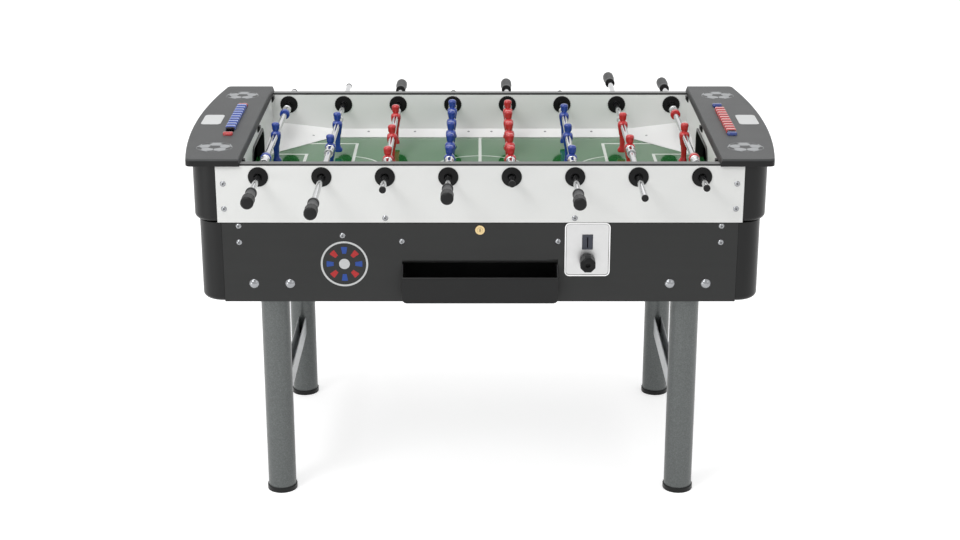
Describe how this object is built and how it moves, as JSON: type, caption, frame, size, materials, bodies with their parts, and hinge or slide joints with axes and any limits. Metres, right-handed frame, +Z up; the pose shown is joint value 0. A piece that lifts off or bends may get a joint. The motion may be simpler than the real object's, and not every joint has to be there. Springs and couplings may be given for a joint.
{
  "type": "foosball table",
  "caption": "Coin-operated foosball table: black cabinet on round legs, hinged white playing box, spinning rods with figures, score beads and a ball tray.",
  "frame": {"origin": "on the floor, under the centre spot of the pitch", "axes": "+X along the pitch to the right, +Y from the front panel to the rear, +Z up"},
  "size_m": [1.448, 1.3655, 0.891],
  "materials": {
    "black_laminate": "matt black laminated board with a fine grain",
    "black_moulding": "black moulded plastic, lightly textured",
    "hammered_grey": "grey hammered paint on steel tube",
    "grey_steel": "light grey painted steel",
    "zinc_steel": "zinc plated steel fasteners and hinges",
    "bright_steel": "bright brushed steel plate",
    "knob_black": "black moulded plastic on a steel shaft",
    "lock_brass": "polished brass lock",
    "return_grey": "grey sheet plastic",
    "white_laminate": "white laminated board, satin",
    "green_pitch": "green printed board under a clear gloss",
    "white_bank": "white plastic, satin",
    "goal_black": "black moulded plastic",
    "rail_grey": "dark grey rail on a black edge",
    "charcoal_cap": "charcoal moulded plastic with a fine texture",
    "bushing_black": "black moulded plastic",
    "counter_end": "gloss plastic end block",
    "counter_blue": "gloss blue plastic",
    "counter_red": "gloss red plastic",
    "rod_chrome": "chromed steel tube",
    "buffer_chrome": "bright sleeve",
    "grip_black": "black grip and plug",
    "men_blue": "gloss blue plastic figure",
    "men_red": "gloss red plastic figure"
  },
  "bodies": {
    "base": {"front_panel": "black_laminate", "cabinet_panels": "black_laminate", "floor_panel": "black_laminate", "lower_corner_posts": "black_moulding", "leg_tubes": "hammered_grey", "foot_caps": "black_moulding", "leg_brackets": "grey_steel", "cabinet_bolts": "zinc_steel", "ball_tray": "black_moulding", "ball_return": "return_grey", "coin_plate": "bright_steel", "coin_entry": "black_moulding", "hinge_fixed_leaves": "zinc_steel", "lock_housing": "lock_brass"},
    "coin_knob": {"coin_knob": "knob_black"},
    "key_lock": {"key_lock": "lock_brass"},
    "upper_box": {"box_walls": "white_laminate", "upper_corner_posts": "black_moulding", "pitch_board": "green_pitch", "banks_and_ramps": "white_bank", "goal_frames": "goal_black", "top_rails": "rail_grey", "end_caps": "charcoal_cap", "rod_bushings": "bushing_black", "lid_fittings": "zinc_steel", "score_stops": "counter_end"},
    "score_beads_left": {"score_beads_left": "counter_blue"},
    "score_beads_right": {"score_beads_right": "counter_red"},
    "rod_1_slide": {"rod_1_buffers": "buffer_chrome"},
    "rod_1": {"rod_1_tube": "rod_chrome", "rod_1_men": "men_blue", "rod_1_grip": "grip_black"},
    "rod_2_slide": {"rod_2_buffers": "buffer_chrome"},
    "rod_2": {"rod_2_tube": "rod_chrome", "rod_2_men": "men_blue", "rod_2_grip": "grip_black"},
    "rod_3_slide": {"rod_3_buffers": "buffer_chrome"},
    "rod_3": {"rod_3_tube": "rod_chrome", "rod_3_men": "men_red", "rod_3_grip": "grip_black"},
    "rod_4_slide": {"rod_4_buffers": "buffer_chrome"},
    "rod_4": {"rod_4_tube": "rod_chrome", "rod_4_men": "men_blue", "rod_4_grip": "grip_black"},
    "rod_5_slide": {"rod_5_buffers": "buffer_chrome"},
    "rod_5": {"rod_5_tube": "rod_chrome", "rod_5_men": "men_red", "rod_5_grip": "grip_black"},
    "rod_6_slide": {"rod_6_buffers": "buffer_chrome"},
    "rod_6": {"rod_6_tube": "rod_chrome", "rod_6_men": "men_blue", "rod_6_grip": "grip_black"},
    "rod_7_slide": {"rod_7_buffers": "buffer_chrome"},
    "rod_7": {"rod_7_tube": "rod_chrome", "rod_7_men": "men_red", "rod_7_grip": "grip_black"},
    "rod_8_slide": {"rod_8_buffers": "buffer_chrome"},
    "rod_8": {"rod_8_tube": "rod_chrome", "rod_8_men": "men_red", "rod_8_grip": "grip_black"}
  },
  "joints": [
    {"name": "lid", "type": "hinge", "parent": "base", "child": "upper_box", "pos_m": [0, 0.3775, 0.7225], "axis": [-1, 0, 0], "range_deg": [0, 45]},
    {"name": "coin_knob_turn", "type": "hinge", "parent": "base", "child": "coin_knob", "pos_m": [0.2575, -0.37, 0.627], "axis": [0, 1, 0], "range_deg": [0, 90]},
    {"name": "key_turn", "type": "hinge", "parent": "base", "child": "key_lock", "pos_m": [0, -0.37, 0.704], "axis": [0, 1, 0], "range_deg": [0, 90]},
    {"name": "score_left", "type": "slide", "parent": "upper_box", "child": "score_beads_left", "axis": [0, 1, 0], "range_m": [-0.0315, 0]},
    {"name": "score_right", "type": "slide", "parent": "upper_box", "child": "score_beads_right", "axis": [0, 1, 0], "range_m": [0, 0.0315]},
    {"name": "rod_1_push", "type": "slide", "parent": "upper_box", "child": "rod_1_slide", "axis": [0, 1, 0], "range_m": [-0.0882, 0.0502]},
    {"name": "rod_1_spin", "type": "hinge", "parent": "rod_1_slide", "child": "rod_1", "pos_m": [-0.525, 0, 0.836], "axis": [0, 1, 0], "range_deg": [-205, 50]},
    {"name": "rod_2_push", "type": "slide", "parent": "upper_box", "child": "rod_2_slide", "axis": [0, 1, 0], "range_m": [-0.1826, 0.1588]},
    {"name": "rod_2_spin", "type": "hinge", "parent": "rod_2_slide", "child": "rod_2", "pos_m": [-0.375, 0, 0.836], "axis": [0, 1, 0], "continuous": true},
    {"name": "rod_3_push", "type": "slide", "parent": "upper_box", "child": "rod_3_slide", "axis": [0, 1, 0], "range_m": [-0.0687, 0.0767]},
    {"name": "rod_3_spin", "type": "hinge", "parent": "rod_3_slide", "child": "rod_3", "pos_m": [-0.225, 0, 0.836], "axis": [0, 1, 0], "continuous": true},
    {"name": "rod_4_push", "type": "slide", "parent": "upper_box", "child": "rod_4_slide", "axis": [0, 1, 0], "range_m": [-0.0768, 0.0186]},
    {"name": "rod_4_spin", "type": "hinge", "parent": "rod_4_slide", "child": "rod_4", "pos_m": [-0.075, 0, 0.836], "axis": [0, 1, 0], "continuous": true},
    {"name": "rod_5_push", "type": "slide", "parent": "upper_box", "child": "rod_5_slide", "axis": [0, 1, 0], "range_m": [-0.0727, 0.0227]},
    {"name": "rod_5_spin", "type": "hinge", "parent": "rod_5_slide", "child": "rod_5", "pos_m": [0.075, 0, 0.836], "axis": [0, 1, 0], "continuous": true},
    {"name": "rod_6_push", "type": "slide", "parent": "upper_box", "child": "rod_6_slide", "axis": [0, 1, 0], "range_m": [-0.0778, 0.0676]},
    {"name": "rod_6_spin", "type": "hinge", "parent": "rod_6_slide", "child": "rod_6", "pos_m": [0.225, 0, 0.836], "axis": [0, 1, 0], "continuous": true},
    {"name": "rod_7_push", "type": "slide", "parent": "upper_box", "child": "rod_7_slide", "axis": [0, 1, 0], "range_m": [-0.1787, 0.1627]},
    {"name": "rod_7_spin", "type": "hinge", "parent": "rod_7_slide", "child": "rod_7", "pos_m": [0.375, 0, 0.836], "axis": [0, 1, 0], "continuous": true},
    {"name": "rod_8_push", "type": "slide", "parent": "upper_box", "child": "rod_8_slide", "axis": [0, 1, 0], "range_m": [-0.083, 0.0554]},
    {"name": "rod_8_spin", "type": "hinge", "parent": "rod_8_slide", "child": "rod_8", "pos_m": [0.525, 0, 0.836], "axis": [0, 1, 0], "range_deg": [-50, 205]}
  ]
}
